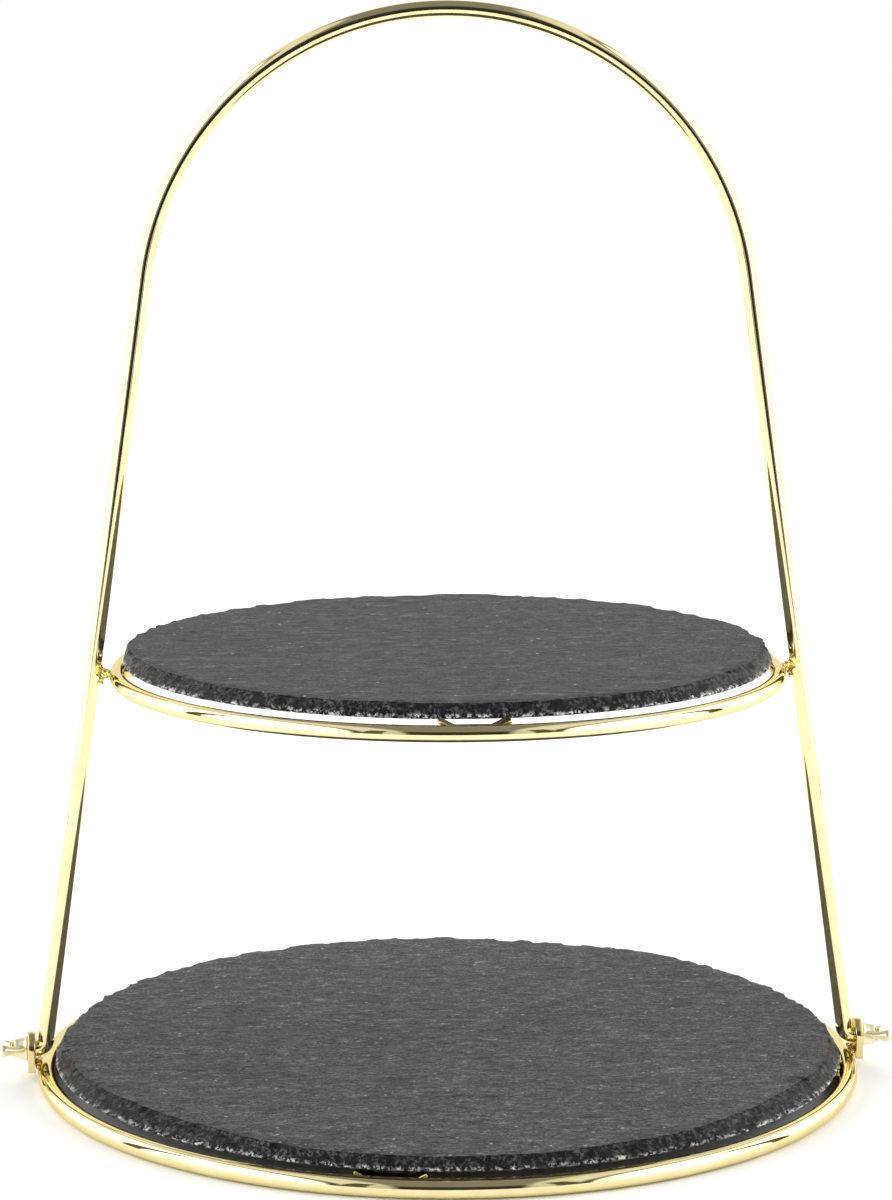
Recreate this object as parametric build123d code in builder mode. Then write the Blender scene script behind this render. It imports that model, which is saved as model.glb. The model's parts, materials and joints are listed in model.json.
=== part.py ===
from build123d import *
import os
from math import asin, atan2, cos, hypot, radians, sin, tan

# Two-tier slate cake stand. A tall wire arch carries the upper ring and pivots on
# two lugs that are welded to the base ring. Each ring holds a round slate on four
# small bent clips, and a wing nut on each side clamps the arch upright.
#
# Millimetres. Origin on the table under the middle of the base ring, +Z up,
# +X to the right, -Y to the front. The arch stands in the XZ plane.

# Wires and rings
base_wire = 6.0
arch_wire = 5.0
upper_wire = 5.0
base_ring_radius = 126.5
upper_ring_radius = 102.8
base_ring_height = base_wire / 2
tier_spacing = 126.1
upper_ring_height = base_ring_height + tier_spacing

# Arch
overall_height = 335.3
crown_radius = 94.1
foot_half_span = 127.2
foot_bend_radius = 3.0
pivot_height = 9.2
stud_tip = 138.6
stud_chamfer = 0.5

# Slates
slate_thickness = 5.0
base_slate_radius = 124.0
upper_slate_radius = 101.0
slate_bevel = 1.6
slate_rim = 1.4
slate_above_ring = 3.7

# Support clips, bent from flat strip
clip_width = 7.0
clip_flat = 11.0
clip_end_run = 5.0
clip_end_rise = 2.6
clip_thickness = 1.0
clip_weld_depth = 0.6
base_clip_turn = -11.0
upper_clip_turn = 1.0

# Pivot lugs and their welds
lug_inner = 130.1
lug_thickness = 2.3
lug_radius = 5.3
lug_foot = 2.5
lug_hole_radius = 2.7
lug_weld_length = 9.0
lug_weld_top = 5.6
side_weld_radius = 2.3

# Wing nuts
nut_gap = 0.1
nut_bore_radius = 2.55
nut_base_radius = 4.3
nut_nose_radius = 3.4
nut_height = 5.0
wing_root = (3.2, 3.4)
wing_root_radius = 2.0
wing_tip = (7.2, 7.0)
wing_tip_radius = 1.6
wing_thickness = 2.2
wing_roll = radians(10.0)

sides = {"left": -1, "right": 1}
clip_places = {"right": 0, "back": 90, "left": 180, "front": 270}

# The straight legs are tangent to the crown's circle
crown_centre = overall_height - arch_wire / 2 - crown_radius
leg_lean = atan2(foot_half_span, crown_centre - pivot_height) - asin(
    crown_radius / hypot(foot_half_span, crown_centre - pivot_height)
)
leg_top_x = crown_radius * cos(leg_lean)
leg_top_z = crown_centre + crown_radius * sin(leg_lean)
leg_x_at_upper_ring = foot_half_span - tan(leg_lean) * (upper_ring_height - pivot_height)

os.makedirs("parts", exist_ok=True)


def save(piece, name):
    piece.part.label = name
    export_step(piece.part, f"parts/{name}.step")


def make_ring(name, ring_radius, wire, height):
    """A wire bent to a circle, its ends butt-welded."""
    with BuildPart() as ring:
        with BuildSketch(Plane.XZ):
            with Locations((ring_radius, height)):
                Circle(wire / 2)
        revolve(axis=Axis.Z)
    save(ring, name)
    return ring


def make_slate(name, radius, bottom):
    """A round slate with a hand-dressed edge that slopes in towards its top."""
    top = bottom + slate_thickness
    with BuildPart() as slate:
        with BuildSketch(Plane.XZ):
            with BuildLine():
                Polyline(
                    (0, bottom),
                    (radius, bottom),
                    (radius, bottom + slate_rim),
                    (radius - slate_bevel, top),
                    (0, top),
                    close=True,
                )
            make_face()
        revolve(axis=Axis.Z)
    save(slate, name)


def make_clip(name, ring, ring_radius, wire, height, turn):
    """A strip inside the ring with a flat middle and two raised ends under the slate."""
    outward = (cos(radians(turn)), sin(radians(turn)), 0)
    along = (-outward[1], outward[0], 0)
    inner_radius = ring_radius - wire / 2 - clip_width
    inner_point = (inner_radius * outward[0], inner_radius * outward[1], height)
    half_flat = clip_flat / 2
    half_length = half_flat + clip_end_run
    with BuildPart() as clip:
        with BuildSketch(Plane(origin=inner_point, x_dir=along, z_dir=outward)):
            with BuildLine():
                Polyline(
                    (-half_length, clip_end_rise),
                    (-half_flat, 0),
                    (half_flat, 0),
                    (half_length, clip_end_rise),
                    (half_length, clip_end_rise + clip_thickness),
                    (half_flat, clip_thickness),
                    (-half_flat, clip_thickness),
                    (-half_length, clip_end_rise + clip_thickness),
                    close=True,
                )
            make_face()
        extrude(amount=clip_width + clip_weld_depth)
        add(ring.part, mode=Mode.SUBTRACT)
    save(clip, name)


def make_side_weld(name, side):
    """The weld that bridges the gap between a leg and the upper ring."""
    with BuildPart() as weld:
        with BuildSketch(Plane.YZ.offset(side * upper_ring_radius)):
            with Locations((0, upper_ring_height)):
                Circle(side_weld_radius)
        extrude(amount=side * (leg_x_at_upper_ring - upper_ring_radius))
        add(upper_ring.part, mode=Mode.SUBTRACT)
        add(arch_handle.part, mode=Mode.SUBTRACT)
    save(weld, name)


def make_lug(name, side):
    """An upright plate with a round top, drilled for the stud."""
    with BuildPart() as lug:
        with BuildSketch(Plane.YZ.offset(side * lug_inner)):
            with Locations((0, pivot_height)):
                Circle(lug_radius)
            with Locations((0, (lug_foot + pivot_height) / 2)):
                Rectangle(2 * lug_radius, pivot_height - lug_foot)
            with Locations((0, pivot_height)):
                Circle(lug_hole_radius, mode=Mode.SUBTRACT)
        extrude(amount=side * lug_thickness)
    save(lug, name)


def make_lug_weld(name, side):
    """The fillet of weld between the base ring's outer side and a lug."""
    with BuildPart() as weld:
        with BuildSketch(Plane.XZ):
            with BuildLine():
                Polyline(
                    (side * base_ring_radius, lug_foot),
                    (side * lug_inner, lug_foot),
                    (side * lug_inner, lug_weld_top),
                    (side * base_ring_radius, lug_weld_top),
                    close=True,
                )
            make_face()
        extrude(amount=lug_weld_length / 2, both=True)
        add(base_ring.part, mode=Mode.SUBTRACT)
    save(weld, name)


def make_wing_nut(name, side):
    """A tapered hub with two wings that flare out past it."""
    hub_face = lug_inner + lug_thickness + nut_gap
    near_wing = (0, -cos(wing_roll), sin(wing_roll))
    wing_normal = (0, -side * near_wing[2], side * near_wing[1])
    with BuildPart() as nut:
        with BuildSketch(Plane.YZ.offset(side * hub_face)):
            with Locations((0, pivot_height)):
                Circle(nut_base_radius)
        with BuildSketch(Plane.YZ.offset(side * (hub_face + nut_height))):
            with Locations((0, pivot_height)):
                Circle(nut_nose_radius)
        loft()
        wing_origin = (side * hub_face, 0, pivot_height)
        with BuildSketch(Plane(origin=wing_origin, x_dir=(side, 0, 0), z_dir=wing_normal)):
            with Locations(wing_root):
                Circle(wing_root_radius)
            with Locations(wing_tip):
                Circle(wing_tip_radius)
            make_hull()
            mirror(about=Plane.XZ)
        extrude(amount=wing_thickness / 2, both=True)
        with BuildSketch(Plane.YZ):
            with Locations((0, pivot_height)):
                Circle(nut_bore_radius)
        extrude(amount=side * 2 * hub_face, mode=Mode.SUBTRACT)
    save(nut, name)


# Arch: two straight legs under a round crown, with both ends bent outwards and threaded
with BuildPart() as arch_handle:
    with BuildLine(Plane.XZ) as arch_path:
        for side in (-1, 1):
            FilletPolyline(
                (side * stud_tip, pivot_height),
                (side * foot_half_span, pivot_height),
                (side * leg_top_x, leg_top_z),
                radius=foot_bend_radius,
            )
        ThreePointArc(
            (-leg_top_x, leg_top_z),
            (0, crown_centre + crown_radius),
            (leg_top_x, leg_top_z),
        )
    with BuildSketch(Plane(origin=(-stud_tip, 0, pivot_height), z_dir=(1, 0, 0))):
        Circle(arch_wire / 2)
    sweep(path=arch_path.wires()[0])
    stud_rims = arch_handle.edges().group_by(Axis.X)
    chamfer(stud_rims[0] + stud_rims[-1], stud_chamfer)
save(arch_handle, "arch_handle")

base_ring = make_ring("base_ring", base_ring_radius, base_wire, base_ring_height)
upper_ring = make_ring("upper_ring", upper_ring_radius, upper_wire, upper_ring_height)

for place, angle in clip_places.items():
    make_clip(
        f"base_{place}_clip",
        base_ring,
        base_ring_radius,
        base_wire,
        base_ring_height,
        angle + base_clip_turn,
    )
    make_clip(
        f"upper_{place}_clip",
        upper_ring,
        upper_ring_radius,
        upper_wire,
        upper_ring_height,
        angle + upper_clip_turn,
    )

for place, side in sides.items():
    make_side_weld(f"upper_{place}_weld", side)
    make_lug(f"{place}_lug", side)
    make_lug_weld(f"{place}_lug_weld", side)
    make_wing_nut(f"{place}_wing_nut", side)

make_slate("base_slate", base_slate_radius, base_ring_height + slate_above_ring)
make_slate("upper_slate", upper_slate_radius, upper_ring_height + slate_above_ring)
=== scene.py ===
import json
import math
import random

import bmesh
import bpy
import numpy as np
from mathutils import Matrix, Vector, noise


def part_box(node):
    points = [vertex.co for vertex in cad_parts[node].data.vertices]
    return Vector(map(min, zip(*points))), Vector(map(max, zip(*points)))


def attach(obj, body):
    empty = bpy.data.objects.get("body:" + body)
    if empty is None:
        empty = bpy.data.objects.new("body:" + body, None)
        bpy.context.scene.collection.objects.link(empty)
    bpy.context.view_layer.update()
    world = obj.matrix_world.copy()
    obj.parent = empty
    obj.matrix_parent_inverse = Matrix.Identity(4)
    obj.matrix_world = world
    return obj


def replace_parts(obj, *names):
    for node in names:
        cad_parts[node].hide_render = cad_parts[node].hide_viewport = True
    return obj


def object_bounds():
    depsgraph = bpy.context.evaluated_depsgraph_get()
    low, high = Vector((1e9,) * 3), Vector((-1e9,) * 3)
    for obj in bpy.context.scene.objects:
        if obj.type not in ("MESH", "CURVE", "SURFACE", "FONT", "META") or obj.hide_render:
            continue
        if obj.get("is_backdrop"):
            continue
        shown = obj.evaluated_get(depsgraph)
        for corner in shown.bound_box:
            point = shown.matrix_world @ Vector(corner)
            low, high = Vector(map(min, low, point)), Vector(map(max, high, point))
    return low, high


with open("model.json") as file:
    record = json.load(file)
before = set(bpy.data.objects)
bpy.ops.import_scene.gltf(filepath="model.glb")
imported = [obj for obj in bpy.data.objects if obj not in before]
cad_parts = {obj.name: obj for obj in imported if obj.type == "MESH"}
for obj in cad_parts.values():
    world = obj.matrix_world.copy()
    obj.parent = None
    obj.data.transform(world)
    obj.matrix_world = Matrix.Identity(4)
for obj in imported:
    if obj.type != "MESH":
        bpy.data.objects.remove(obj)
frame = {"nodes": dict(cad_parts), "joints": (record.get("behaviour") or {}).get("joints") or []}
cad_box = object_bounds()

# Two-tier slate cake stand in a pale studio. Metres, in the CAD model's frame: origin on the
# table under the base ring's middle, +Z up, -Y to the front. The wires, welds, clips, wing
# nuts and slates are built here around the CAD model; the lugs are the CAD model's own.

MM = 0.001
random.seed(7)

# Shape of the arch that its box doesn't give
CROWN_RADIUS = 94.1 * MM
FOOT_HALF_SPAN = 127.2 * MM
FOOT_BEND_RADIUS = 3.0 * MM
STUD_CHAMFER = 0.6 * MM
THREAD_PITCH = 0.8 * MM
THREAD_DEPTH = 0.4 * MM
# where the thread starts outside the bend, and the length over which it deepens
THREAD_START = 0.3 * MM
THREAD_FADE = 0.6 * MM

WIRE_SIDES = 32
STUD_STEPS = 90
BEND_STEPS = 14
LEG_STEPS = 60
CROWN_STEPS = 180
RING_STEPS = 360

SIDES = {"left": -1, "right": 1}
PLACES = ("right", "back", "left", "front")


def joint_height(name):
    return next(joint for joint in frame["joints"] if joint["name"] == name)["pos_m"][2]


def distance_round(places, middle, length):
    """The shorter way from each place to the middle, along a closed line of that length."""
    return np.abs((places - middle + length / 2) % length - length / 2)


# ---------------------------------------------------------------- mesh helpers


def grid_faces(rows, columns, wrap_rows=False):
    """Quads between closed rows of points that are numbered row by row."""
    faces = []
    for i in range(rows if wrap_rows else rows - 1):
        a, b = i * columns, (i + 1) % rows * columns
        for j in range(columns):
            k = (j + 1) % columns
            faces.append((a + j, a + k, b + k, b + j))
    return faces


def bridge_rows(counts):
    """Faces between closed rows of points, where a row has as many points as the one before
    it, or half or twice as many."""
    faces, start = [], 0
    for here, there in zip(counts, counts[1:]):
        a, b = start, start + here
        small = min(here, there)
        for j in range(small):
            k = (j + 1) % small
            if here == there:
                faces.append((a + j, a + k, b + k, b + j))
                continue
            dense, sparse = (a, b) if here > there else (b, a)
            mid, end = dense + 2 * j + 1, dense + 2 * k
            faces.append((dense + 2 * j, mid, sparse + j))
            faces.append((mid, end, sparse + k))
            faces.append((mid, sparse + k, sparse + j))
        start += here
    return faces


def put_in_scene(name, data):
    piece = bpy.data.objects.new(name, data)
    bpy.context.scene.collection.objects.link(piece)
    return piece


def object_from(bm, name):
    """An object made of a bmesh, which is freed."""
    mesh = bpy.data.meshes.new(name)
    bm.to_mesh(mesh)
    bm.free()
    return put_in_scene(name, mesh)


def make_object(name, points, faces, material, smooth=True):
    """An object of points and faces, with its normals turned to face out."""
    mesh = bpy.data.meshes.new(name)
    mesh.from_pydata([tuple(p) for p in points], [], faces)
    mesh.validate()
    mesh.polygons.foreach_set("use_smooth", [smooth] * len(mesh.polygons))
    mesh.materials.append(material)
    bm = bmesh.new()
    bm.from_mesh(mesh)
    bmesh.ops.recalc_face_normals(bm, faces=bm.faces)
    bm.to_mesh(mesh)
    bm.free()
    return put_in_scene(name, mesh)


def apply_modifiers(piece):
    """Replaces the piece's mesh with what its modifiers make of it."""
    graph = bpy.context.evaluated_depsgraph_get()
    graph.update()
    made = bpy.data.meshes.new_from_object(piece.evaluated_get(graph))
    piece.modifiers.clear()
    piece.data = made


def run_together(piece, voxel, softening):
    """Turns overlapping solids into one skin, and smooths it that many times."""
    remesh = piece.modifiers.new("join", "REMESH")
    remesh.mode = "VOXEL"
    remesh.voxel_size = voxel
    soften = piece.modifiers.new("soften", "SMOOTH")
    soften.factor = 0.5
    soften.iterations = softening
    apply_modifiers(piece)


def finish_skin(piece, material):
    """Gives the whole piece one material and smooth shading."""
    piece.data.materials.clear()
    piece.data.materials.append(material)
    piece.data.polygons.foreach_set("use_smooth", [True] * len(piece.data.polygons))


def tube(name, points, across, radii, material, closed=False):
    """A round wire along points in one plane, whose unit normal is across. radii has a row
    for each point, with a radius for each side."""
    points = np.array(points, float)
    if closed:
        ahead, behind = np.roll(points, -1, 0), np.roll(points, 1, 0)
    else:
        ahead = np.vstack([points[1:], points[-1:]])
        behind = np.vstack([points[:1], points[:-1]])
    along = ahead - behind
    along /= np.linalg.norm(along, axis=1)[:, None]
    across = np.array(across, float)
    out = np.cross(across, along)
    turn = np.linspace(0, 2 * np.pi, WIRE_SIDES, endpoint=False)
    around = np.cos(turn)[None, :, None] * out[:, None, :] + np.sin(turn)[None, :, None] * across
    skin = (points[:, None, :] + radii[:, :, None] * around).reshape(-1, 3)
    faces = grid_faces(len(points), WIRE_SIDES, wrap_rows=closed)
    if not closed:
        last = len(skin) - WIRE_SIDES
        faces.append(tuple(range(WIRE_SIDES)))
        faces.append(tuple(range(last, len(skin))))
    return make_object(name, skin, faces, material)


def weld_bead(name, balls, voxel, unevenness, seed):
    """A bead of weld: balls of (centre, radius) run together, with an uneven skin."""
    bm = bmesh.new()
    for centre, radius in balls:
        bmesh.ops.create_icosphere(
            bm, subdivisions=3, radius=radius, matrix=Matrix.Translation(centre)
        )
    piece = object_from(bm, name)
    run_together(piece, voxel, softening=4)
    for vertex in piece.data.vertices:
        spot = vertex.co / (1.3 * MM) + Vector((seed, 0, 0))
        vertex.co += vertex.normal * unevenness * noise.fractal(spot, 1.0, 2.0, 3)
    finish_skin(piece, weld_gold)
    return piece


# ------------------------------------------------------------------- materials


class Nodes:
    """A node tree with short names for the nodes that are used here."""

    def __init__(self, tree):
        self.tree = tree

    def new(self, kind):
        return self.tree.nodes.new("ShaderNode" + kind)

    def feed(self, socket, value):
        """Links an output to the socket, or sets the socket to a number or colour."""
        if isinstance(value, bpy.types.NodeSocket):
            self.tree.links.new(value, socket)
        else:
            socket.default_value = (*value, 1) if isinstance(value, tuple) else value

    def ramp(self, factor, *stops):
        """A value or colour from stops of (place, value or colour)."""
        node = self.new("ValToRGB")
        points = node.color_ramp.elements
        while len(points) < len(stops):
            points.new(0.5)
        for point, (place, value) in zip(points, stops):
            point.position = place
            point.color = (*value, 1) if isinstance(value, tuple) else (value, value, value, 1)
        self.feed(node.inputs["Fac"], factor)
        return node.outputs["Color"]

    def calculate(self, operation, *values):
        node = self.new("Math")
        node.operation = operation
        for socket, value in zip(node.inputs, values):
            self.feed(socket, value)
        return node.outputs[0]

    def between(self, factor, first, second):
        """A number between two numbers."""
        node = self.new("Mix")
        node.data_type = "FLOAT"
        for socket, value in ((0, factor), (2, first), (3, second)):
            self.feed(node.inputs[socket], value)
        return node.outputs[0]

    def mix(self, factor, first, second, blend="MIX"):
        """A colour between two colours, or the first blended with the second."""
        node = self.new("Mix")
        node.data_type = "RGBA"
        node.blend_type = blend
        for socket, value in ((0, factor), (6, first), (7, second)):
            self.feed(node.inputs[socket], value)
        return node.outputs[2]


class Shader(Nodes):
    """A Principled material, with the textures and bumps that its detail needs."""

    def __init__(self, name):
        self.material = bpy.data.materials.new(name)
        self.material.use_nodes = True
        super().__init__(self.material.node_tree)
        self.surface = self.tree.nodes["Principled BSDF"]
        self.place = self.new("TexCoord").outputs["Object"]

    def set(self, **values):
        for name, value in values.items():
            self.surface.inputs[name.replace("_", " ")].default_value = value

    def noise(self, scale, detail=4.0, rough=0.55, stretch=(1, 1, 1), warp=0.0):
        stretched = self.new("Mapping")
        stretched.inputs["Scale"].default_value = stretch
        self.feed(stretched.inputs["Vector"], self.place)
        node = self.new("TexNoise")
        node.inputs["Scale"].default_value = scale
        node.inputs["Detail"].default_value = detail
        node.inputs["Roughness"].default_value = rough
        node.inputs["Distortion"].default_value = warp
        self.feed(node.inputs["Vector"], stretched.outputs["Vector"])
        return node.outputs["Fac"]

    def cells(self, scale, output="Distance"):
        node = self.new("TexVoronoi")
        node.inputs["Scale"].default_value = scale
        self.feed(node.inputs["Vector"], self.place)
        return node.outputs[output]

    def attribute(self, name):
        node = self.new("Attribute")
        node.attribute_name = name
        return node.outputs["Fac"]

    def bump(self, height, strength, distance, under=None):
        node = self.new("Bump")
        node.inputs["Strength"].default_value = strength
        node.inputs["Distance"].default_value = distance
        self.feed(node.inputs["Height"], height)
        if under is not None:
            self.feed(node.inputs["Normal"], under)
        return node.outputs["Normal"]

    def paint(self, color, roughness, normal):
        self.feed(self.surface.inputs["Base Color"], color)
        self.feed(self.surface.inputs["Roughness"], roughness)
        self.feed(self.surface.inputs["Normal"], normal)
        return self.material


def gold_plating(name, light, dark, polish, dull, ripple):
    """Thin gold plating on steel: a tone mottled from dark to light, a roughness from polish
    to dull, a faint ripple and fine pits."""
    shader = Shader(name)
    shader.set(Metallic=1.0, IOR=1.45, Specular_Tint=(0.90, 0.82, 0.58, 1))
    tone = shader.ramp(shader.noise(90, 3), (0.3, dark), (0.7, light))
    haze = shader.noise(900, 4)
    wear = shader.noise(160, 5, warp=0.4)
    roughness = shader.ramp(shader.mix(0.5, haze, wear), (0.35, polish), (0.68, dull))
    pits = shader.ramp(shader.cells(1500), (0.0, 0.0), (0.12, 1.0))
    normal = shader.bump(shader.noise(350, 3), ripple, 0.02 * MM)
    normal = shader.bump(pits, 0.25, 0.01 * MM, under=normal)
    return shader.paint(tone, roughness, normal)


def weld_metal(name):
    """Plated weld: lumpy, duller than the wire, with brown heat stains in patches."""
    shader = Shader(name)
    shader.set(Metallic=1.0, IOR=1.45)
    stain = shader.ramp(
        shader.noise(420, 5, 0.65, warp=0.6),
        (0.30, (0.09, 0.040, 0.008)),
        (0.42, (0.62, 0.40, 0.11)),
        (0.52, (0.92, 0.74, 0.30)),
    )
    roughness = shader.ramp(shader.noise(1300, 4), (0.3, 0.07), (0.7, 0.26))
    normal = shader.bump(shader.noise(900, 4, 0.6), 0.5, 0.12 * MM)
    return shader.paint(stain, roughness, normal)


def riven_slate(name, shade):
    """A split face of slate, as light as shade, which also offsets the lighting between the two
    slates:
    ragged lines where leaves came off, partly the stone's own colour and partly painted shade and
    highlight, short streaks along X that are partly the stone's own and partly painted shade and
    highlight, grain, and a few painted glints."""
    shader = Shader(name)
    shader.set(IOR=1.5, Specular_IOR_Level=0.12)
    cloud = shader.noise(18, 4, 0.6)
    streak = shader.noise(390, 6, 0.72, stretch=(0.42, 1, 1), warp=0.5)
    leaves = shader.noise(120, 8, 0.72, stretch=(0.45, 1, 1), warp=0.4)
    grain = shader.noise(1200, 4, 0.7)
    color = shader.ramp(
        cloud,
        (0.3, (0.92 * shade, 0.92 * shade, 0.94 * shade)),
        (0.7, (1.08 * shade, 1.08 * shade, 1.11 * shade)),
    )
    # a dark line of painted shade and a light line of painted highlight beside it, twice, along the
    # leaf ridges that the bump below draws; partly the stone's own colour at the leaf edges
    lines = [(0.402, 1.0), (0.42, 0.05), (0.434, 2.3), (0.448, 1.0)]
    lines += [(place + 0.10, times) for place, times in lines]
    color = shader.mix(1.0, color, shader.ramp(leaves, *lines), "MULTIPLY")
    # the streaks lighten the high parts and darken the low parts of the same relief that the bump
    # below draws: partly the stone's own streaks, partly painted shade in the hollows and painted
    # highlight on the ridges
    tone = shader.ramp(streak, (0.34, 0.26), (0.45, 0.82), (0.57, 1.1), (0.69, 2.3))
    color = shader.mix(1.0, color, tone, "MULTIPLY")
    color = shader.mix(1.0, color, shader.ramp(grain, (0.32, 0.30), (0.68, 2.0)), "MULTIPLY")
    # pale spots in a few cells: painted glints
    chosen = shader.ramp(shader.cells(330, output="Color"), (0.80, 0.0), (0.82, 1.0))
    painted_glint = shader.ramp(shader.cells(330), (0.12, 1.0), (0.20, 0.0))
    color = shader.mix(shader.calculate("MULTIPLY", painted_glint, chosen), color, (0.55, 0.55, 0.53))
    roughness = shader.ramp(shader.mix(0.5, streak, grain), (0.3, 0.38), (0.7, 0.60))
    steps = shader.ramp(leaves, *[(0.30 + 0.045 * i, float(i % 2)) for i in range(11)])
    normal = shader.bump(streak, 1.0, 2.4 * MM)
    normal = shader.bump(steps, 1.0, 0.4 * MM, under=normal)
    normal = shader.bump(grain, 0.8, 0.4 * MM, under=normal)
    return shader.paint(color, roughness, normal)


def broken_slate(name):
    """A chipped edge of slate: near black, with pale crushed stone where the mesh says."""
    shader = Shader(name)
    shader.set(IOR=1.5, Specular_IOR_Level=0.09)
    grit = shader.noise(900, 6, 0.7, warp=0.8)
    color = shader.ramp(
        shader.noise(300, 6, 0.68, warp=0.5),
        (0.32, (0.003, 0.003, 0.004)),
        (0.66, (0.015, 0.015, 0.017)),
        (0.76, (0.045, 0.045, 0.048)),
    )
    flecks = shader.ramp(shader.noise(850, 6, 0.75), (0.50, 0.0), (0.54, 1.0))
    crushed = shader.calculate("MULTIPLY", shader.attribute("crushed"), flecks)
    color = shader.mix(crushed, color, (0.85, 0.85, 0.85))
    roughness = shader.ramp(shader.noise(520, 4), (0.3, 0.16), (0.7, 0.42))
    normal = shader.bump(grit, 0.8, 0.45 * MM)
    return shader.paint(color, roughness, normal)


wire_gold = gold_plating(
    "gold_plated_wire",
    light=(0.93, 0.84, 0.50),
    dark=(0.88, 0.77, 0.41),
    polish=0.03,
    dull=0.08,
    ripple=0.20,
)
sheet_gold = gold_plating(
    "gold_plated_sheet",
    light=(0.90, 0.78, 0.42),
    dark=(0.80, 0.62, 0.28),
    polish=0.07,
    dull=0.20,
    ripple=0.6,
)
nut_gold = gold_plating(
    "gold_plated_nut",
    light=(0.96, 0.90, 0.68),
    dark=(0.92, 0.83, 0.57),
    polish=0.34,
    dull=0.52,
    ripple=0.8,
)
weld_gold = weld_metal("gold_plated_weld")
# The same stone on both slates, lighter below and darker above: painted light and shade that offset
# the upper slate lying nearer the overhead lamp and shading the lower one
base_stone = riven_slate("base_slate_riven", shade=0.112)
upper_stone = riven_slate("upper_slate_riven", shade=0.083)
broken_stone = broken_slate("slate_broken")


# ----------------------------------------------------------------------- wires


def arc(centre, radius, start, end, steps):
    """Points in the XZ plane from the angle start to end, in radians."""
    turn = np.linspace(start, end, steps + 1)
    return [(centre[0] + radius * math.cos(a), 0, centre[1] + radius * math.sin(a)) for a in turn]


def line(start, end, steps):
    """Points between start and end, without the two themselves."""
    return [tuple(Vector(start).lerp(Vector(end), i / steps)) for i in range(1, steps)]


def make_arch():
    """One wire: threaded stud, tight bend, leg, round crown, and the same down the left."""
    low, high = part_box("arch_handle")
    wire = (high.y - low.y) / 2
    pivot = joint_height("arch_tilt")
    crown = high.z - wire - CROWN_RADIUS
    reach = math.hypot(FOOT_HALF_SPAN, crown - pivot)
    lean = math.atan2(FOOT_HALF_SPAN, crown - pivot) - math.asin(CROWN_RADIUS / reach)
    # the bend turns from straight outwards to up the leg
    bend_x = FOOT_HALF_SPAN + FOOT_BEND_RADIUS * math.tan(math.pi / 4 - lean / 2)
    bend = arc(
        (bend_x, pivot + FOOT_BEND_RADIUS),
        FOOT_BEND_RADIUS,
        -math.pi / 2,
        -math.pi - lean,
        BEND_STEPS,
    )
    tip = (high.x, 0, pivot)
    stud = [tip] + line(tip, bend[0], STUD_STEPS)
    crown_start = (CROWN_RADIUS * math.cos(lean), 0, crown + CROWN_RADIUS * math.sin(lean))
    leg = line(bend[-1], crown_start, LEG_STEPS)
    top = arc((0, crown), CROWN_RADIUS, lean, math.pi - lean, CROWN_STEPS)
    right = stud + bend + leg
    left = [(-x, y, z) for x, y, z in reversed(right)]
    points = right + top + left
    radii = np.full((len(points), WIRE_SIDES), wire)
    turn = np.arange(WIRE_SIDES) / WIRE_SIDES
    for row, (x, _, z) in enumerate(points):
        from_tip = high.x - abs(x)
        threaded = min(1.0, max(0.0, (abs(x) - bend_x - THREAD_START) / THREAD_FADE))
        if z > pivot + wire:
            threaded = 0.0
        groove = np.abs(((from_tip / THREAD_PITCH + np.sign(x) * turn) % 1.0) * 2 - 1)
        radii[row] -= threaded * THREAD_DEPTH * groove
        radii[row] -= max(0.0, STUD_CHAMFER - from_tip) * 0.9
    arch = tube("arch_handle_wire", points, (0, 1, 0), radii, wire_gold)
    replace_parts(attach(arch, "arch"), "arch_handle")


def make_ring(node, body, join_turn):
    """A wire bent round to a ring, with a slight swelling where its ends are butt-welded.
    Gives back the ring's radius, its wire's radius and its height."""
    low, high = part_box(node)
    wire = (high.z - low.z) / 2
    radius = (high.x - low.x) / 2 - wire
    height = (low.z + high.z) / 2
    turn = np.linspace(0, 2 * np.pi, RING_STEPS, endpoint=False)
    points = [(radius * math.cos(a), radius * math.sin(a), height) for a in turn]
    away = distance_round(turn, join_turn, 2 * np.pi) * radius
    swelling = 0.18 * MM * np.exp(-((away / (1.2 * MM)) ** 2))
    sideways = np.cos(np.linspace(0, 2 * np.pi, WIRE_SIDES, endpoint=False)) ** 2
    radii = wire - 0.02 * MM + swelling[:, None] * sideways
    ring = tube(f"{node}_wire", points, (0, 0, 1), radii, wire_gold, closed=True)
    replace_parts(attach(ring, body), node)
    return radius, wire, height


make_arch()
BASE_RING = make_ring("base_ring", "base", math.radians(62))
UPPER_RING = make_ring("upper_ring", "arch", math.radians(118))


# ----------------------------------------------------------------------- clips

CLIP_WIDTH = 7.0 * MM
CLIP_FLAT = 11.0 * MM
CLIP_RUN = 5.0 * MM
CLIP_RISE = 2.6 * MM
CLIP_THICKNESS = 1.0 * MM
CLIP_BEND = 1.6 * MM
CLIP_WELD_DEPTH = 0.6 * MM
# middle of each run of weld along a clip, in millimetres
CLIP_WELD_PLACES = (-3.6, 0.4, 3.9)


def clip_line():
    """The strip's middle line from end to end, as (along, height) with rounded bends."""
    slope = math.atan2(CLIP_RISE, CLIP_RUN)
    bend_length = CLIP_BEND * math.tan(slope / 2)
    start = CLIP_FLAT / 2 - bend_length
    half = [(0.0, 0.0), (start / 2, 0.0)]
    for i in range(7):
        a = slope * i / 6
        half.append((start + CLIP_BEND * math.sin(a), CLIP_BEND * (1 - math.cos(a))))
    for share in (0.5, 1.0):
        half.append((CLIP_FLAT / 2 + CLIP_RUN * share, CLIP_RISE * share))
    return [(-x, z) for x, z in reversed(half[1:])] + half


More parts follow.
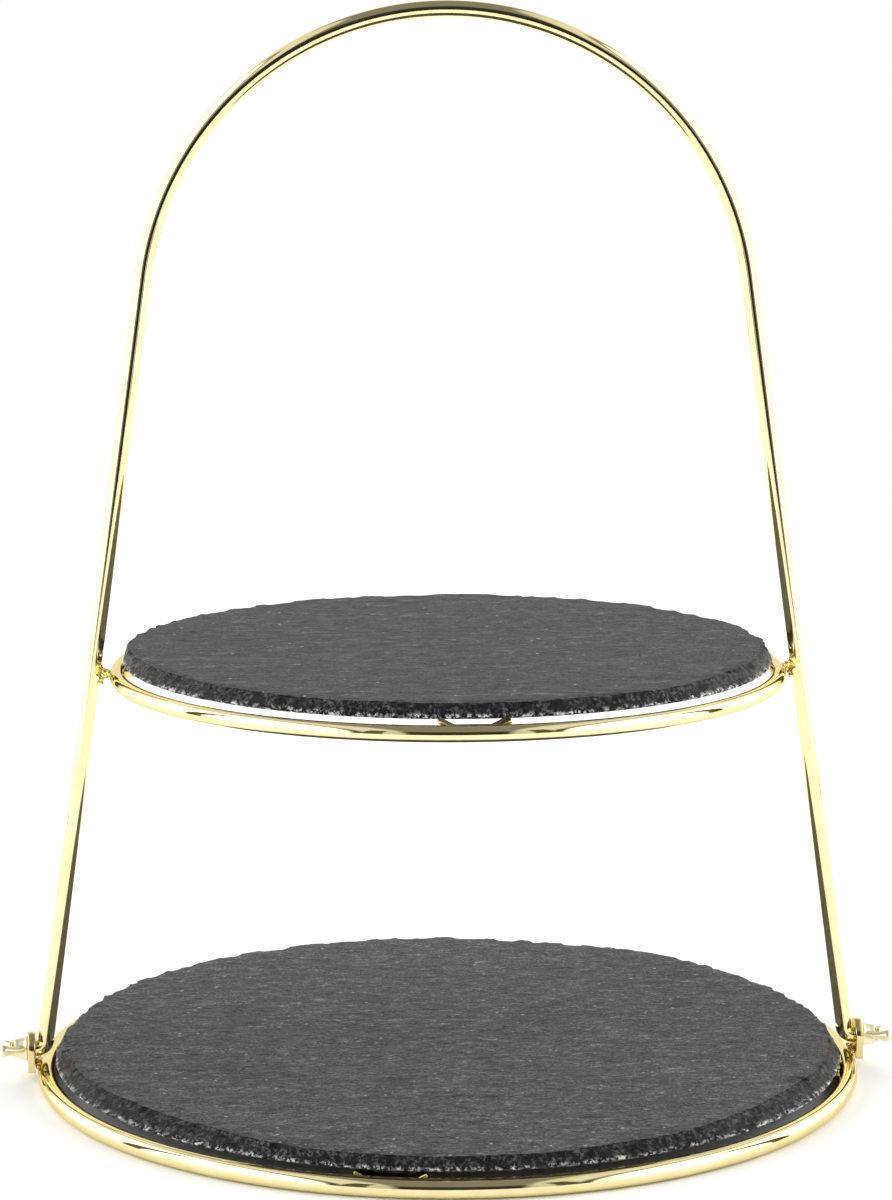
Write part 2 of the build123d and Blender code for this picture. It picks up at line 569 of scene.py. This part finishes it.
def make_clip(node, body, ring):
    """A bent strip on the inside of a ring, and three short runs of weld along its edge."""
    ring_radius, wire, ring_height = ring
    low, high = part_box(node)
    middle = (low + high) / 2
    turn = math.atan2(middle.y, middle.x)
    outward = Vector((math.cos(turn), math.sin(turn), 0))
    along = Vector((-outward.y, outward.x, 0))
    up = Vector((0, 0, 1))
    inner = ring_radius - wire - CLIP_WIDTH
    outer = ring_radius - wire + CLIP_WELD_DEPTH
    path = clip_line()
    points = []
    for i, (s, h) in enumerate(path):
        s0, h0 = path[max(i - 1, 0)]
        s1, h1 = path[min(i + 1, len(path) - 1)]
        normal = (up * (s1 - s0) - along * (h1 - h0)).normalized()
        centre = along * s + up * (ring_height + CLIP_THICKNESS / 2 + h)
        for radial, lift in ((inner, -1), (outer, -1), (outer, 1), (inner, 1)):
            points.append(centre + outward * radial + normal * lift * CLIP_THICKNESS / 2)
    faces = grid_faces(len(path), 4) + [(0, 1, 2, 3), tuple(len(points) - 4 + i for i in range(4))]
    clip = make_object(f"{node}_strip", points, faces, sheet_gold, smooth=False)
    soft_edge(clip, 0.22 * MM)
    apply_modifiers(clip)
    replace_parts(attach(clip, body), node)
    beads = []
    for place in CLIP_WELD_PLACES:
        offset = place + random.uniform(-0.5, 0.5)
        spot = along * offset * MM + outward * (ring_radius - wire - 0.1 * MM)
        spot += up * (ring_height + CLIP_THICKNESS)
        for step in (-0.5, 0.5):
            size = random.uniform(0.55, 0.85) * MM
            beads.append((spot + along * step * MM + up * random.uniform(-0.2, 0.1) * MM, size))
    seed = random.uniform(0, 50)
    weld = weld_bead(f"{node}_weld", beads, voxel=0.16 * MM, unevenness=0.18 * MM, seed=seed)
    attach(weld, body)


def soft_edge(piece, width):
    """Joins a mesh that is split at its edges, and rounds them a little."""
    weld = piece.modifiers.new("weld", "WELD")
    weld.merge_threshold = 0.002 * MM
    bevel = piece.modifiers.new("soft_edge", "BEVEL")
    bevel.width = width
    bevel.segments = 3
    bevel.limit_method = "ANGLE"
    bevel.angle_limit = math.radians(35)
    bevel.harden_normals = True


for place in PLACES:
    make_clip(f"base_{place}_clip", "base", BASE_RING)
    make_clip(f"upper_{place}_clip", "arch", UPPER_RING)


# -------------------------------------------------------- lugs, welds, wing nuts

LUG_WELD_BALLS = 7
# a wing nut's hub, as (distance from the lug, radius) in millimetres
HUB = [(0.0, 3.8), (0.4, 3.9), (1.2, 3.5), (2.8, 3.15), (4.0, 3.0), (4.2, 2.9)]
HUB_SIDES = 40
WING_ROLL = math.radians(10)
WING_STATIONS = 15
BORE_RADIUS = 2.55 * MM


def make_side_weld(node, side):
    """Weld between a leg and the upper ring, run up and down the leg."""
    low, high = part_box(node)
    middle = (low + high) / 2
    gap = (high.x - low.x) / 2
    leg_side = middle.x + side * gap * 0.55
    ring_side = middle.x - side * gap * 0.45
    balls = [
        (Vector((middle.x, 0, middle.z)), 1.7 * MM),
        (Vector((leg_side, -0.3 * MM, middle.z + 1.7 * MM)), 1.05 * MM),
        (Vector((leg_side, 0.2 * MM, middle.z - 1.9 * MM)), 1.1 * MM),
        (Vector((middle.x, -1.1 * MM, middle.z + 0.8 * MM)), 1.0 * MM),
        (Vector((middle.x, 1.2 * MM, middle.z - 0.6 * MM)), 1.0 * MM),
        (Vector((ring_side, -1.7 * MM, middle.z + 0.3 * MM)), 0.95 * MM),
        (Vector((ring_side, 1.7 * MM, middle.z)), 0.95 * MM),
        (Vector((leg_side - side * 0.7 * MM, -0.9 * MM, middle.z - 2.8 * MM)), 0.6 * MM),
        (Vector((leg_side - side * 0.3 * MM, -0.6 * MM, middle.z + 2.8 * MM)), 0.6 * MM),
    ]
    weld = weld_bead(f"{node}_bead", balls, voxel=0.2 * MM, unevenness=0.3 * MM, seed=10 * side)
    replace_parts(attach(weld, "arch"), node)


def make_lug_weld(node, side):
    """A run of weld along the foot of a lug, on the base ring's outer side."""
    low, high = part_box(node)
    balls = []
    for i in range(LUG_WELD_BALLS):
        y = low.y + (high.y - low.y) * (i + 0.5) / LUG_WELD_BALLS
        x = (low.x + high.x) / 2 + side * random.uniform(0.0, 0.25) * MM
        z = high.z - 1.0 * MM + random.uniform(-0.25, 0.25) * MM
        balls.append((Vector((x, y, z)), random.uniform(0.95, 1.2) * MM))
    weld = weld_bead(f"{node}_bead", balls, voxel=0.2 * MM, unevenness=0.3 * MM, seed=20 * side)
    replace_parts(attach(weld, "base"), node)


def add_hub(bm, origin, outward, first, second):
    """A turned hub that stands outward from origin, between the directions first and second."""
    rings = []
    for along, wide in HUB:
        centre, radius = origin + outward * along * MM, wide * MM
        ring = []
        for i in range(HUB_SIDES):
            a = 2 * math.pi * i / HUB_SIDES
            spot = centre + first * radius * math.cos(a) + second * radius * math.sin(a)
            ring.append(bm.verts.new(spot))
        rings.append(ring)
    for a, b in zip(rings, rings[1:]):
        for i in range(HUB_SIDES):
            j = (i + 1) % HUB_SIDES
            bm.faces.new((a[i], a[j], b[j], b[i]))
    bm.faces.new(rings[0])
    bm.faces.new(list(reversed(rings[-1])))


def add_wing(bm, origin, outward, wing, thick, way, length):
    """A chain of balls from the hub to the tip of one wing, squeezed to its thickness. The
    wing points along wing, or against it where way is -1."""
    turn = Matrix((outward, wing, thick)).transposed().to_4x4()
    for i in range(WING_STATIONS):
        t = i / (WING_STATIONS - 1)
        half = (2.1 - 0.75 * t + 0.25 * max(0.0, t - 0.7) / 0.3) * MM
        flat = (1.15 + 0.75 * max(0.0, t - 0.4) / 0.6) * MM
        out = 2.7 * MM + (length - 4.3 * MM) * t**0.95
        reach = (3.0 + 4.0 * t**0.9) * MM
        place = Matrix.Translation(origin + outward * out + wing * way * reach)
        shape = Matrix.Diagonal((half, half, flat, 1))
        bmesh.ops.create_icosphere(bm, subdivisions=3, radius=1, matrix=place @ turn @ shape)


def make_wing_nut(node, side):
    """A cast wing nut: a tapered hub and two flared wings run together, then bored."""
    low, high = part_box(node)
    inner = high.x if side < 0 else low.x
    origin = Vector((inner, 0, joint_height(f"{node.removesuffix('_wing_nut')}_nut_turn")))
    outward = Vector((side, 0, 0))
    wing = Vector((0, -math.cos(WING_ROLL), math.sin(WING_ROLL)))
    thick = outward.cross(wing)
    bm = bmesh.new()
    add_hub(bm, origin, outward, wing, thick)
    for way in (-1, 1):
        add_wing(bm, origin, outward, wing, thick, way, high.x - low.x)
    nut = object_from(bm, f"{node}_cast")
    run_together(nut, 0.17 * MM, softening=5)
    bore = bore_cutter(origin, outward)
    cut = nut.modifiers.new("bore", "BOOLEAN")
    cut.operation = "DIFFERENCE"
    cut.object = bore
    apply_modifiers(nut)
    bpy.data.objects.remove(bore)
    finish_skin(nut, nut_gold)
    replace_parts(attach(nut, node), node)


def bore_cutter(origin, outward):
    """A rod that is longer than the nut, along its axis."""
    bm = bmesh.new()
    turn = outward.to_track_quat("Z", "Y").to_matrix().to_4x4()
    bmesh.ops.create_cone(
        bm,
        cap_ends=True,
        segments=48,
        radius1=BORE_RADIUS,
        radius2=BORE_RADIUS,
        depth=14 * MM,
        matrix=Matrix.Translation(origin + outward * 3 * MM) @ turn,
    )
    return object_from(bm, "bore")


def finish_lug(node):
    """The CAD lug itself, with its edges softened."""
    lug = frame["nodes"][node]
    soft_edge(lug, 0.25 * MM)
    lug.data.materials.clear()
    lug.data.materials.append(sheet_gold)


for place, side in SIDES.items():
    make_side_weld(f"upper_{place}_weld", side)
    make_lug_weld(f"{place}_lug_weld", side)
    make_wing_nut(f"{place}_wing_nut", side)
    finish_lug(f"{place}_lug")


# ---------------------------------------------------------------------- slates

# points along a slate's rim, spacing of the rows on its top face, rows down its broken band
RIM_POINTS = 1536
TOP_SPACING = 1.15 * MM
BAND_ROWS = 16


def scooped(places, length, count, widths, depths):
    """How deep each place along a closed edge lies in count random scoops, whose half widths
    and depths are between the two given."""
    depth = np.zeros_like(places)
    for _ in range(count):
        middle = random.uniform(0, length)
        half = random.uniform(*widths)
        deep = random.uniform(*depths)
        away = distance_round(places, middle, length) / half
        depth = np.maximum(depth, deep * np.sqrt(np.maximum(0, 1 - away**2)))
    return depth


def rough(points, size, octaves, seed):
    """Fractal noise at points, of features of that size, along X, Y and Z if it has three."""
    scaled = points / np.array(size) + (seed, seed / 2, 0)
    return np.array([noise.fractal(Vector(p), 1.0, 2.0, octaves) for p in scaled])


def knapped(points, size, seed):
    """Shell-shaped scars: low in the middle of each cell and rising to the ridges."""
    scaled = points / size + (seed, 0, seed / 3)
    return np.array([noise.voronoi(Vector(p))[0][0] ** 2 for p in scaled])


def ray_points(ray, radii, height=0.0):
    """Points at those radii along the rays, at one height or at a height each."""
    return np.column_stack([ray * radii[:, None], np.broadcast_to(height, len(ray))])


class Slate:
    """A disc split from stone: gently riven faces, and an edge chipped all round from above,
    by so many millimetres more at each angle in degrees in wide_at. It is built as closed
    rows of points, from the middle of the top face round to the middle of the underside."""

    def __init__(self, node, seed, wide_at):
        random.seed(seed)
        self.seed = seed
        self.low, self.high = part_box(node)
        self.radius = (self.high.x - self.low.x) / 2
        self.turn = np.linspace(0, 2 * np.pi, RIM_POINTS, endpoint=False)
        self.ray = np.stack([np.cos(self.turn), np.sin(self.turn)], 1)
        self.rim_place = self.turn * self.radius
        self.rows, self.crushed = [], []
        self.shape_edge(wide_at)
        self.add_top_face()
        self.top_row = len(self.rows) - 1
        self.add_broken_band()
        self.add_underside()

    def shape_edge(self, wide_at):
        """The outlines of the top face, of the broken band and of the rim."""
        radius, seed, place = self.radius, self.seed, self.rim_place
        length = 2 * np.pi * radius
        rim = ray_points(self.ray, np.full(RIM_POINTS, radius))
        wide = scooped(place, length, 40, (8 * MM, 24 * MM), (0.3 * MM, 1.5 * MM)) + 0.9 * MM
        for angle, extra in wide_at:
            away = distance_round(self.turn, math.radians(angle), 2 * np.pi)
            wide += extra * MM * np.exp(-((away / 0.42) ** 2))
        small = scooped(place, length, 190, (1.2 * MM, 4.5 * MM), (0.2, 1.0)) * MM
        nicks = scooped(place, length, 230, (0.5 * MM, 2.2 * MM), (0.1, 0.8)) * MM
        ragged = rough(rim, 2.4 * MM, 4, seed)
        self.nicks = nicks
        self.band_radius = np.minimum(radius - wide, radius - 0.9 * MM)
        top_radius = self.band_radius - 0.9 * small - 0.60 * MM * ragged
        self.top_radius = np.minimum(top_radius, radius - 0.7 * MM)
        self.top_drop = 0.10 * MM + 0.40 * small + 0.12 * MM * np.abs(ragged)
        self.rim_radius = radius - 0.08 * MM - 0.25 * nicks - 0.12 * MM * np.abs(ragged)
        self.rim_height = self.low.z + 0.7 * MM + 0.3 * MM * rough(rim, 6 * MM, 3, seed + 9)

    def riven_height(self, points):
        """The top face's height: long low ripples along X, and steps where leaves came off."""
        ripple = rough(points, (52 * MM, 13 * MM, 1), 4, self.seed + 3)
        leaf = rough(points, (60 * MM, 21 * MM, 1), 5, self.seed + 5) * 3.5
        step = np.floor(leaf) + 0.5 + 0.5 * np.tanh((leaf % 1 - 0.5) / 0.06)
        grit = rough(points, (5 * MM, 2.6 * MM, 1), 3, self.seed + 7)
        height = 0.09 * ripple + 0.045 * step + 0.03 * grit
        return self.high.z - 0.26 * MM + np.clip(height * MM, -0.3 * MM, 0.24 * MM)

    def add_row(self, points, crushed=0.0):
        self.rows.append(points)
        self.crushed.append(np.broadcast_to(crushed, len(points)))

    def add_top_face(self):
        """From the middle out: a row has twice the points of the last where they spread, and
        the rows at the edge have as many as the rim."""
        rings = int(self.radius / TOP_SPACING)
        count = 12
        for i in range(1, rings + 1):
            share = i / rings
            gap = 2 * np.pi * self.radius * share / count
            if gap > 1.5 * TOP_SPACING and 2 * count <= RIM_POINTS:
                count *= 2
            if i > rings - 3:
                count = min(RIM_POINTS, count * 2)
            pick = slice(None, None, RIM_POINTS // count)
            points = ray_points(self.ray[pick], self.top_radius[pick] * share)
            near_edge = max(0.0, (share - 0.965) / 0.035) ** 2
            points[:, 2] = self.riven_height(points) - self.top_drop[pick] * near_edge
            self.add_row(points)

    def add_broken_band(self):
        """From the top edge down to the rim, scarred all over and crushed at the foot."""
        seed, band, band_top = self.seed, self.band_radius, self.high.z - 0.35 * MM
        top_edge = self.rows[-1][:, 2]
        for i in range(1, BAND_ROWS + 1):
            t = i / BAND_ROWS
            # the top edge's raggedness fades out down the band
            ragged = (1 - t) ** 3
            out = band + (self.rim_radius - band) * t + (self.top_radius - band) * ragged
            height = band_top + (self.rim_height - band_top) * t + (top_edge - band_top) * ragged
            spots = np.column_stack(
                [self.rim_place * 0.36, 1.5 * (out - self.radius), 1.5 * height]
            )
            scars = 0.8 * knapped(spots, 3.4 * MM, seed) + 0.12 * knapped(spots, 1.5 * MM, seed + 4)
            grit = rough(ray_points(self.ray, out, height), 1.1 * MM, 3, seed + 6)
            scars = (scars - 0.3 + 0.07 * grit) * MM
            fade = min(1.0, 5 * t, 6 * (1 - t) + 0.25)
            out = np.minimum(out + 0.75 * scars * fade, self.radius)
            height = np.minimum(height + 0.65 * scars * fade, self.high.z - 0.05 * MM)
            points = ray_points(self.ray, out, height)
            chips = 0.45 + 1.2 * rough(points, 2.5 * MM, 3, seed + 8) + 0.4 * self.nicks / MM
            self.add_row(points, np.clip(chips, 0, 1) * max(0.09, (t - 0.72) / 0.28))

    def add_underside(self):
        """A short undercut, then flat to the middle."""
        worn = np.clip(0.4 + self.nicks / MM, 0, 1)
        for inset, lift, crushed in ((0.2, 0.3, worn), (0.8, 0.0, 0.4 * worn)):
            radii, height = self.rim_radius - inset * MM, self.low.z + lift * MM
            self.add_row(ray_points(self.ray, radii, height), crushed)
        count = RIM_POINTS
        for share in (0.985, 0.96, 0.9, 0.8, 0.6, 0.4, 0.2, 0.08):
            count //= 2
            pick = slice(None, None, RIM_POINTS // count)
            radii = (self.rim_radius[pick] - 0.8 * MM) * share
            self.add_row(ray_points(self.ray[pick], radii, self.low.z))

    def build(self, name, stone):
        """The object: that stone on the faces, and broken stone from the top edge to the
        undercut, with how crushed it is as an attribute."""
        counts = [len(row) for row in self.rows]
        total = sum(counts)
        faces = bridge_rows(counts)
        faces.append(tuple(range(counts[0])))
        faces.append(tuple(range(total - counts[-1], total)))
        piece = make_object(name, np.vstack(self.rows), faces, stone)
        piece.data.materials.append(broken_stone)
        layer = piece.data.attributes.new("crushed", "FLOAT", "POINT")
        layer.data.foreach_set("value", np.concatenate(self.crushed).astype(np.float32))
        starts = np.cumsum([0] + counts)
        band_start, band_end = starts[self.top_row + 1], starts[self.top_row + BAND_ROWS + 3]
        for face in piece.data.polygons:
            if band_start <= max(face.vertices) < band_end:
                face.material_index = 1
        mark_sharp_row(piece, starts[self.top_row], counts[self.top_row])
        return piece


def make_slate(node, seed, wide_at, stone):
    slate = Slate(node, seed, wide_at).build(f"{node}_stone", stone)
    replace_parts(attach(slate, node), node)


def mark_sharp_row(piece, start, count):
    """Keeps the edge along one row of points sharp under smooth shading."""
    for edge in piece.data.edges:
        a, b = edge.vertices
        if start <= a < start + count and start <= b < start + count:
            edge.use_edge_sharp = True


make_slate(
    "base_slate", seed=11, wide_at=((218, 4.7), (322, 4.7), (182, 1.2)), stone=base_stone
)
make_slate("upper_slate", seed=23, wide_at=((214, 2.0), (326, 1.8)), stone=upper_stone)


# ---------------------------------------------------------------------- studio


FLOOR_RADIUS = 1.15
SCREEN_LIGHT = 2.15
LIGHT_TARGET = Vector((0, 0, 0.1))
# (x, y) of each dark board, which stands facing the arch
BOARDS = ((0.52, -1.03), (1.0, 0.03), (0.62, 0.95))
BOARD_WIDTH = 0.13
BOARD_HEIGHT = 0.9

CAMERA_DISTANCE = 1079 * MM
CAMERA_HEIGHT = 323.2 * MM
CAMERA_TILT = math.radians(9.06)
CAMERA_TURN = math.radians(-3.5)
LENS = 105.26
SHIFT_X = -0.0013


def floor_material():
    shader = Shader("pale_floor")
    shader.set(Base_Color=(0.93, 0.93, 0.93, 1), Roughness=0.6)
    return shader.material


def dark_material():
    shader = Shader("dark_board")
    shader.set(Base_Color=(0.070, 0.062, 0.038, 1), Roughness=0.9, Specular_IOR_Level=0.0)
    return shader.material


def make_floor():
    bm = bmesh.new()
    bmesh.ops.create_circle(bm, cap_ends=True, segments=128, radius=FLOOR_RADIUS)
    floor = object_from(bm, "floor")
    floor.data.materials.append(floor_material())
    floor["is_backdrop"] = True


def make_world():
    """White to the camera. In reflections there are two big bright screens, left and right,
    and between them a dark opening in front, a dim ceiling and a white back."""
    world = bpy.data.worlds.new("studio")
    bpy.context.scene.world = world
    world.use_nodes = True
    nodes = Nodes(world.node_tree)
    split = nodes.new("SeparateXYZ")
    nodes.feed(split.inputs["Vector"], nodes.new("TexCoord").outputs["Generated"])
    # from the front over the top to the back, as a share of a half turn
    front = nodes.calculate("MULTIPLY", split.outputs["Y"], -1.0)
    up = nodes.calculate("ABSOLUTE", split.outputs["Z"])
    over = nodes.calculate("DIVIDE", nodes.calculate("ARCTAN2", up, front), math.pi)
    middle = nodes.ramp(over, (0.0, 0.01), (0.15, 0.02), (0.20, 0.11), (0.72, 0.12), (0.84, 0.48))
    aside = nodes.calculate("ABSOLUTE", split.outputs["X"])
    screens = nodes.ramp(
        aside, (0.27, 0.0), (0.32, 0.30), (0.50, 0.34), (0.53, 0.02), (0.56, 0.02), (0.60, 1.0)
    )
    strength = nodes.calculate("MULTIPLY", nodes.between(screens, middle, 1.0), SCREEN_LIGHT)
    seen = nodes.new("LightPath").outputs["Is Camera Ray"]
    background = world.node_tree.nodes["Background"]
    nodes.feed(background.inputs["Color"], (1, 1, 1))
    nodes.feed(background.inputs["Strength"], nodes.between(seen, strength, 1.0))


def area_light(name, centre, width, height, watts):
    """A soft light that faces the stand and shows in no reflection."""
    light = bpy.data.lights.new(name, "AREA")
    light.shape = "RECTANGLE"
    light.size, light.size_y = width, height
    light.energy = watts
    lamp = put_in_scene(name, light)
    lamp.location = centre
    lamp.rotation_euler = (LIGHT_TARGET - Vector(centre)).to_track_quat("-Z", "Y").to_euler()
    lamp.visible_camera = lamp.visible_glossy = False


def make_lights():
    area_light("overhead", (0.0, 0.1, 1.6), 1.8, 1.4, 6.0)
    area_light("back", (0.0, 1.5, 0.9), 1.8, 0.7, 9.0)
    for name, side in SIDES.items():
        area_light(f"{name}_side", (side * 1.4, -0.3, 0.9), 1.2, 0.8, 5.0)


def make_board(name, x, y, material):
    """A narrow upright board on the floor that only reflections show."""
    mesh = bpy.data.meshes.new(name)
    w, h = BOARD_WIDTH / 2, BOARD_HEIGHT / 2
    mesh.from_pydata([(-w, -h, 0), (w, -h, 0), (w, h, 0), (-w, h, 0)], [], [(0, 1, 2, 3)])
    mesh.materials.append(material)
    board = put_in_scene(name, mesh)
    board.location = (x, y, h)
    board.rotation_euler = Vector((-x, -y, 0)).to_track_quat("Z", "Y").to_euler()
    board.visible_camera = board.visible_diffuse = board.visible_shadow = False
    board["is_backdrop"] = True


def make_boards():
    material = dark_material()
    for name, side in SIDES.items():
        for number, (x, y) in enumerate(BOARDS):
            make_board(f"board_{number}_{name}", side * x, y, material)


def make_camera():
    data = bpy.data.cameras.new("camera")
    data.lens = LENS
    data.sensor_width = 36
    data.shift_x = SHIFT_X
    camera = put_in_scene("camera", data)
    camera.location = (
        CAMERA_DISTANCE * math.sin(CAMERA_TURN),
        -CAMERA_DISTANCE * math.cos(CAMERA_TURN),
        CAMERA_HEIGHT,
    )
    camera.rotation_euler = (math.pi / 2 - CAMERA_TILT, 0, CAMERA_TURN)
    bpy.context.scene.camera = camera


make_floor()
make_world()
make_lights()
make_boards()
bpy.context.scene.view_settings.view_transform = "Standard"
make_camera()

seen_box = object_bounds()
boxes = {"cad": cad_box, "visual": seen_box}
{name: [list(corner) for corner in box] for name, box in boxes.items()}
